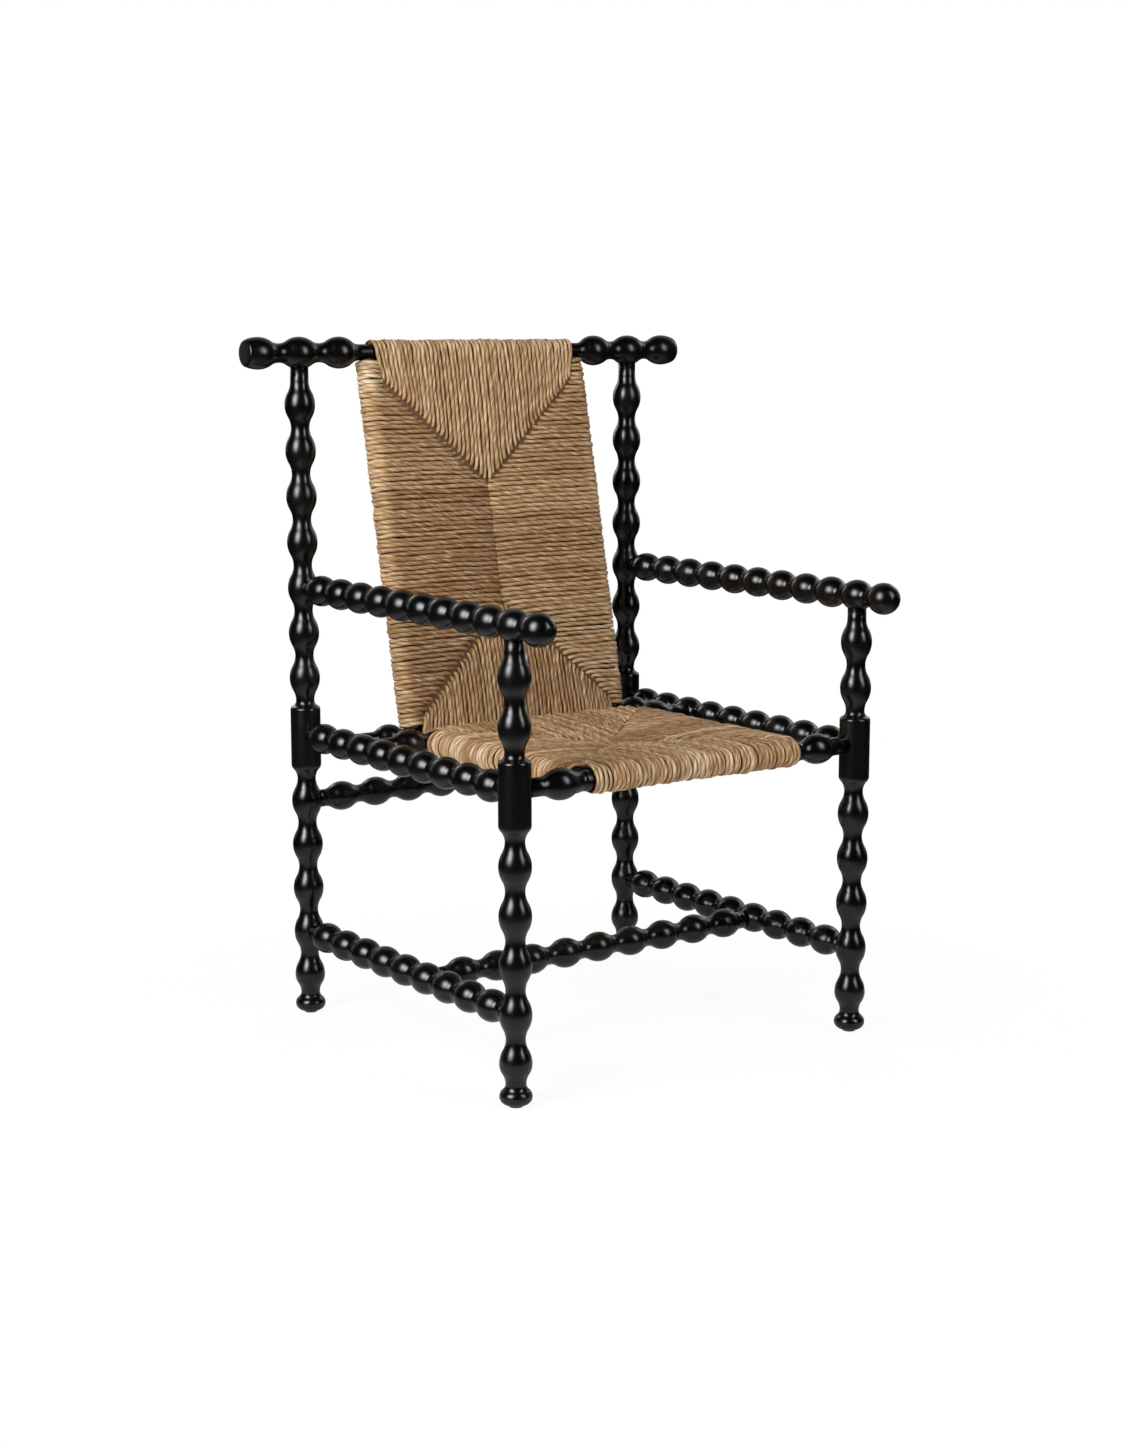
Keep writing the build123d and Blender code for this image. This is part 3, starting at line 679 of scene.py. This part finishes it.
def twist(name, origin, inward, aside, normal, places, laid, roll_r, *course):
    """Tubes round a field's centre lines.

    A point at angle a round a ring is centre + b cos a * aside + c sin a * out, where b and c
    are the cord's half width and half height, out is square to the path, and the radius is
    taken in a little where the two leaves meet, at right angles to the lay. Round the rail the
    cord is squeezed flatter and wider, with its outward side where it was. A cord's shade is
    partly that of the slow bands it lies in and partly its own.
    """
    cord, along, s, w, side, rings = field(places, roll_r, *course)
    count = len(places)
    phases = rng.uniform(0, 2 * math.pi, (4, count))[:, cord]
    bob = ripple(along, outward_waves, phases[2:])
    lateral = places[cord] + side + ripple(along, sideways_waves, phases[:2])
    centre = (origin + s[:, None] * inward + w[:, None] * normal + lateral[:, None] * aside)

    ends = np.cumsum(rings)
    first = np.concatenate([[0], ends[:-1]])
    index = np.arange(len(cord))
    ahead = np.minimum(index + 1, ends[cord] - 1)
    behind = np.maximum(index - 1, first[cord])
    tangent = centre[ahead] - centre[behind]
    tangent /= np.linalg.norm(tangent, axis=1, keepdims=True)
    out = np.cross(tangent, aside) * np.sign(np.dot(np.cross(aside, normal), inward))
    out /= np.linalg.norm(out, axis=1, keepdims=True)
    across = np.cross(out, tangent)
    lift = laid["uneven"] * rng.normal(0, lift_spread, count)[cord]
    on_roll = smooth(roll_edge - np.abs(along) / (math.pi / 2 * roll_r))
    squeeze = roll_squeeze * on_roll
    centre = centre + (bob + lift + squeeze * cord_half_height)[:, None] * out

    thick = rng.normal(1.0, thick_spread, count)[cord]
    lay_length = twist_length * rng.uniform(0.85, 1.2, count)[cord]
    spin_at = 2 * math.pi * along / lay_length + rng.uniform(0, 2 * math.pi, count)[cord]
    angle = np.linspace(0, 2 * math.pi, spokes_round, endpoint=False)
    leaf = angle[None, :] - spin_at[:, None]
    lumps = np.sin(along / 0.0047 + phases[1]) * np.sin(along / 0.013 + phases[2])
    radius = (thick * (1 + lumpiness * lumps))[:, None] * (1 - leaf_groove * np.sin(leaf)**6)
    taper = np.where((index == first[cord]) | (index == ends[cord] - 1), end_taper, 1)[:, None]
    wide, high = 1 + roll_spread * squeeze[:, None], 1 - squeeze[:, None]
    b = (cord_half_width * wide * radius * taper * np.cos(angle))[..., None]
    c = (cord_half_height * high * radius * taper * np.sin(angle))[..., None]
    body = centre[:, None, :] + b * across[:, None, :] + c * out[:, None, :]

    points = np.vstack([body.reshape(-1, 3), centre[first], centre[ends - 1]])
    ring = index[np.isin(index, ends - 1, invert=True)]
    j = np.arange(spokes_round)
    a = ring[:, None] * spokes_round + j
    n = ring[:, None] * spokes_round + (j + 1) % spokes_round
    quads = np.stack([a, n, n + spokes_round, a + spokes_round], -1).reshape(-1, 4)
    tip = len(body.reshape(-1, 3)) + np.arange(count)
    near = first[:, None] * spokes_round + j
    far = (ends[:, None] - 1) * spokes_round + j
    caps = np.concatenate([
        np.stack([tip[:, None] + 0 * j, np.roll(near, -1, 1), near], -1).reshape(-1, 3),
        np.stack([tip[:, None] + count + 0 * j, far, np.roll(far, -1, 1)], -1).reshape(-1, 3)])

    # crown places the painted shade on the cords' flanks and on their ends
    crown = np.broadcast_to(np.sin(angle), leaf.shape).ravel()
    crown = np.concatenate([crown, np.full(2 * count, -1.0)])
    lay = np.stack([cord_half_width * np.cos(leaf), cord_half_width * np.sin(leaf),
                    along[:, None] + 0 * leaf], -1).reshape(-1, 3)
    lay = np.vstack([lay, np.zeros((2 * count, 3))])
    lay[:, 2] += np.concatenate([np.repeat(cord, spokes_round), np.arange(count),
                                 np.arange(count)]) * streak_shift
    bands = 0.5 + 0.5 * np.sin(np.cumsum(rng.normal(0, 0.5, count)))
    own = laid["uneven"] * (rng.random(count) - 0.5)
    shade = np.clip(band_shade * bands + own_shade * own + least_shade, 0, 1)
    # the rolls' tone is raised for wear and for a painted sheen
    worn = np.clip(shade[cord] + laid["worn"] * on_roll, 0, 1.3)
    tone = np.concatenate([np.repeat(worn, spokes_round), shade, shade])
    return new_piece(name, points, quads, caps, rush, "rush", lay=lay, tone=tone, crown=crown)


# %% [markdown]
# ## The two woven panels
#
# A panel is held by two rails, which the first two fields are wound round, and two rods, for
# the other two. The seam of a rail's field starts near the corner and runs to the apex, so at
# a side step u it is reached at start + (H - |u|) * slope from the rail.


# %% Weave a panel
def weave(label, low, high, core_r, low_apex, high_apex, low_start, high_start, **lay):
    """Four fields of cord between two rails, given by the middle points of their axes.

    The lay says how far the cords are pressed against the rods (press), how deep they dive
    into the seams (depth, a share), how uneven they lie, and how bright the rolls are made by
    wear and a painted sheen (worn).
    """
    low, high = np.array(low, float), np.array(high, float)
    span = np.linalg.norm(high - low)
    up = (high - low) / span
    aside = np.array([1.0, 0, 0])
    normal = np.cross(aside, up)
    roll_r = core_r + cord_half_height - lay["press"]
    middle = weave_half - cord_half_height
    pieces = []

    wrap = stile_x - wrap_in - cord_half_width
    count = int(2 * wrap / rail_cord_pitch) + 1
    u = np.linspace(-wrap, wrap, count)
    pull = -rail_pull * (u / wrap)**3
    hook = rail_hook * np.sign(u) * np.minimum(1, np.abs(u) / hook_rise)
    dive = np.full(count, lay["depth"] * rail_dive)
    for end, origin, inward, apex, start in (("low", low, up, low_apex, low_start),
                                             ("high", high, -up, high_apex, high_start)):
        reach = start + (stile_x - np.abs(u + pull + hook)) * (apex - start) / stile_x
        pieces.append(twist(f"{label}_rush_{end}", origin, inward, aside, normal, u, lay, roll_r,
                            reach, np.full(count, apex), pull, hook, dive, rail_dive_way,
                            roll_r - middle))

    edge = core_r + corner_gap + cord_half_width
    count = int((span - 2 * edge) / side_cord_pitch) + 1
    v = np.linspace(edge, span - edge, count)
    near_low = (v / low_apex) < ((span - v) / high_apex)
    near = np.where(near_low, v, span - v)
    apex = np.where(near_low, low_apex, high_apex)
    start = np.where(near_low, low_start, high_start)
    corner = np.clip(1 - near / apex, 0, 1)
    pull = side_pull * corner**2
    hook = -side_hook * np.minimum(1, corner / corner_rise)
    way = np.clip((near + pull + hook - start) / (apex - start), 0, 1)
    reach = np.maximum(stile_x * way, stile_x - wrap + rail_pull) + seam_lap * (way == 1)
    dive = lay["depth"] * np.where(way < 1, side_dive, middle_dive)
    away = np.where(near_low, 1, -1)
    for side, sign in sides:
        origin = low + sign * stile_x * aside
        pieces.append(twist(f"{label}_rush_{side}", origin, -sign * aside, up, normal, v, lay,
                            roll_r, reach, np.full(count, stile_x), pull * away, hook * away,
                            dive, side_dive_way, roll_r - middle))
    return pieces, span, up, normal, roll_r, middle


seat_ends = ((0, front_y, front_rail_z), (0, seat_rear_y, rear_rail_z))
back_ends = ((0, back_rail_y, rear_rail_z), (0, back_y, crest_z))
seat_apexes, seat_starts = (0.178, 0.178), (0.014, 0.014)
back_apexes, back_starts = (0.181, 0.1925), (0.012, 0.030)
seat_pieces, *seat_plane = weave("seat", *seat_ends, seat_core_r, *seat_apexes, *seat_starts,
                                 press=0.0012, depth=0.4, uneven=2.4, worn=0.15)
back_pieces, *back_plane = weave("back", *back_ends, back_core_r, *back_apexes, *back_starts,
                                 press=0.0, depth=1.0, uneven=1.0, worn=0.25)
for piece in seat_pieces + back_pieces:
    print(piece.name, len(piece.data.polygons), "faces")

# %% [markdown]
# ## Stuffing
#
# A weaver pushes rush scraps between the two faces as the work goes on. It shows only in the
# gaps between cords, dark as painted shade: one closed pillow in each panel, a little inside the
# cords.


# %% Fill the panels
stuffing_margin, stuffing_side, stuffing_end = 0.0022, 0.003, 0.006


def stuffing(label, low, plane, core_r, low_apex, high_apex, replaced):
    """Closed pillow under the cords: height = +-(R - m - (R - c) * n^f), on a grid of (u, v).

    R is the cords' height over the rails and c over the seam, m the margin under them, and n
    is the least of the distances to the four rails, each over its own apex distance. The
    power f is the weave's fullness.
    """
    span, up, normal, roll_r, middle = plane
    aside = np.array([1.0, 0, 0])
    half, edge = stile_x - core_r - stuffing_side, core_r + stuffing_end
    u, v = np.meshgrid(np.linspace(-half, half, 41), np.linspace(edge, span - edge, 61),
                       indexing="ij")
    near = np.minimum.reduce([(stile_x - np.abs(u)) / stile_x, v / low_apex,
                              (span - v) / high_apex])
    height = roll_r - stuffing_margin - (roll_r - middle) * near**fullness
    base = np.array(low) + u[..., None] * aside + v[..., None] * up
    top, bottom = base + height[..., None] * normal, base - height[..., None] * normal
    points = np.vstack([top.reshape(-1, 3), bottom.reshape(-1, 3)])
    number = np.arange(u.size).reshape(u.shape)
    faces = np.stack([number[:-1, :-1], number[1:, :-1], number[1:, 1:], number[:-1, 1:]],
                     -1).reshape(-1, 4)
    rim = np.concatenate([number[:-1, 0], number[-1, :-1], number[:0:-1, -1], number[0, :0:-1]])
    wall = np.stack([rim, rim + u.size, np.roll(rim, -1) + u.size, np.roll(rim, -1)], -1)
    quads = np.vstack([faces, faces[:, ::-1] + u.size, wall])
    return new_piece(f"{label}_stuffing", points, quads, np.zeros((0, 3), int), scraps, "rush",
                     replaced)


def shaded_rush_scraps():
    """Chaff that shows between the cords, coloured dark as their painted shade."""
    material, tree, shader = new_material("shaded_rush_scraps")
    place = add_node(tree, "ShaderNodeTexCoord").outputs["Object"]
    flake = noise(tree, place, 500.0, 4.0, 0.7)
    # dark colour that paints the shade in the gaps between the cords
    tree.links.new(mix_colour(tree, flake, (0.060, 0.029, 0.010, 1), (0.15, 0.08, 0.032, 1)),
                   shader.inputs["Base Color"])
    shader.inputs["Roughness"].default_value = 0.9
    bump = add_node(tree, "ShaderNodeBump", {"Height": flake, "Strength": 0.5, "Distance": 0.001})
    tree.links.new(bump.outputs[0], shader.inputs["Normal"])
    return material


scraps = shaded_rush_scraps()
stuffing("seat", seat_ends[0], seat_plane, seat_core_r, *seat_apexes, ["seat_rush"])
stuffing("back", back_ends[0], back_plane, back_core_r, *back_apexes, ["back_rush"])

# %% [markdown]
# ## Studio
#
# The chair stands on a white floor that fades into the white of the surroundings, with its soft
# shadow kept. Two tall soft boxes stand left and right of the camera and fade out towards their
# edges, which puts two long satin highlights on every bobbin. Two weaker ones behind draw thin
# light rims, and two fills light the rush alone, since the lacquer doesn't mirror them.


# %% Floor
def white_floor():
    """White ground, dimmer in reflections, that turns into plain white away from the chair."""
    material, tree, shader = new_material("white_floor")
    place = add_node(tree, "ShaderNodeTexCoord").outputs["Object"]
    away = add_node(tree, "ShaderNodeVectorMath", {0: place}, operation="LENGTH").outputs["Value"]
    rays = add_node(tree, "ShaderNodeLightPath").outputs
    dim = mix_colour(tree, ramp(tree, away, 0.5, 1.2), (0.60, 0.60, 0.60, 1),
                     (0.04, 0.04, 0.04, 1))
    tree.links.new(mix_colour(tree, rays["Is Glossy Ray"], (0.94, 0.94, 0.94, 1), dim),
                   shader.inputs["Base Color"])
    shader.inputs["Roughness"].default_value = 0.9
    shader.inputs["Specular IOR Level"].default_value = 0.1
    glow = add_node(tree, "ShaderNodeEmission", {"Color": (1, 1, 1, 1), "Strength": 1.0})
    fade = math_node(tree, "MULTIPLY", ramp(tree, away, 0.2, 0.8, 0.9, 1.0),
                     rays["Is Camera Ray"])
    blend = add_node(tree, "ShaderNodeMixShader", {0: fade})
    tree.links.new(shader.outputs[0], blend.inputs[1])
    tree.links.new(glow.outputs[0], blend.inputs[2])
    tree.links.new(blend.outputs[0], tree.nodes["Material Output"].inputs["Surface"])
    return material


floor_half = 12
floor_corners = [(x * floor_half, y * floor_half, 0)
                 for x, y in ((-1, -1), (1, -1), (1, 1), (-1, 1))]
floor_mesh = bpy.data.meshes.new("floor")
floor_mesh.from_pydata(floor_corners, [], [(0, 1, 2, 3)])
floor_mesh.materials.append(white_floor())
floor = bpy.data.objects.new("floor", floor_mesh)
bpy.context.scene.collection.objects.link(floor)
print("floor:", 2 * floor_half, "m square")

# %% Surroundings
world = bpy.data.worlds.new("studio")
bpy.context.scene.world = world
world.use_nodes = True
sky = world.node_tree
room = sky.nodes["Background"]
room.inputs["Color"].default_value = (1.0, 1.0, 1.0, 1)
into_view = (0.588, 0.809, 0.0)  # the camera's way, laid level
looks = add_node(sky, "ShaderNodeTexCoord").outputs["Generated"]
behind = add_node(sky, "ShaderNodeVectorMath", {0: looks, 1: into_view},
                  operation="DOT_PRODUCT").outputs["Value"]
glossy = add_node(sky, "ShaderNodeLightPath").outputs["Is Glossy Ray"]
rim = ramp(sky, glossy, 0.0, 1.0, 0.45, 0.55)
sky.links.new(math_node(sky, "ADD", 0.005, math_node(sky, "MULTIPLY", rim,
                                                     ramp(sky, behind, 0.25, 0.85))),
              room.inputs["Strength"])
backdrop = add_node(sky, "ShaderNodeBackground", {"Color": (1, 1, 1, 1), "Strength": 1.0})
seen = add_node(sky, "ShaderNodeLightPath").outputs["Is Camera Ray"]
either = add_node(sky, "ShaderNodeMixShader", {0: seen})
sky.links.new(room.outputs[0], either.inputs[1])
sky.links.new(backdrop.outputs[0], either.inputs[2])
sky.links.new(either.outputs[0], sky.nodes["World Output"].inputs["Surface"])
print("world:", world.name)

# %% Camera
camera_at = Vector((-1.9495, -2.6698, 0.9927))
camera_aim = Vector((-0.0082, 0.02706, 0.4384))
camera = bpy.data.objects.new("camera", bpy.data.cameras.new("camera"))
camera.data.lens = 59.62
camera.data.sensor_width = 36.0
camera.location = camera_at
camera.rotation_euler = (camera_aim - camera_at).to_track_quat("-Z", "Y").to_euler()
bpy.context.scene.collection.objects.link(camera)
bpy.context.scene.camera = camera
print("camera:", camera.data.lens, "mm, aimed from", [round(v, 2) for v in camera_at])

# %% Soft boxes
chair_middle = Vector((0, 0, 0.5))
light_distance = 2.4
towards_camera = math.atan2(camera_at.y, camera_at.x)


def fading_edges(light):
    """Emission that fades towards the four edges of the light's rectangle."""
    light.use_nodes = True
    tree = light.node_tree
    place = add_node(tree, "ShaderNodeNewGeometry").outputs["Parametric"]
    parts = add_node(tree, "ShaderNodeSeparateXYZ", {0: place}).outputs
    fades = [ramp(tree, math_node(tree, "ABSOLUTE", math_node(tree, "SUBTRACT", 0.5, parts[axis])),
                  0.5, 0.05) for axis in "XY"]
    tree.links.new(math_node(tree, "MULTIPLY", *fades), tree.nodes["Emission"].inputs["Strength"])


def soft_box(name, turn, height, width, tall, watts, mirrored=True):
    """Area light that faces the chair, turned by some degrees from the camera's side."""
    light = bpy.data.lights.new(name, "AREA")
    light.shape = "RECTANGLE"
    light.size, light.size_y = width, tall
    light.energy = watts
    if mirrored:
        fading_edges(light)
    lamp = bpy.data.objects.new(name, light)
    lamp.visible_glossy = mirrored
    bearing = towards_camera + math.radians(turn)
    lamp.location = (light_distance * math.cos(bearing), light_distance * math.sin(bearing), height)
    lamp.rotation_euler = (chair_middle - lamp.location).to_track_quat("-Z", "Y").to_euler()
    bpy.context.scene.collection.objects.link(lamp)
    return lamp


soft_box("left_box", -40, 1.75, 2.0, 2.8, 325)
soft_box("right_box", 57, 1.75, 1.2, 2.8, 95)
soft_box("right_fill", 40, 1.7, 1.4, 2.0, 12, mirrored=False)
soft_box("rear_fill", 175, 1.0, 1.4, 1.4, 26, mirrored=False)
soft_box("far_left_box", -140, 1.6, 0.8, 1.6, 20)
soft_box("far_right_box", 140, 1.6, 0.8, 1.6, 12)
bpy.context.scene.view_settings.view_transform = "Standard"
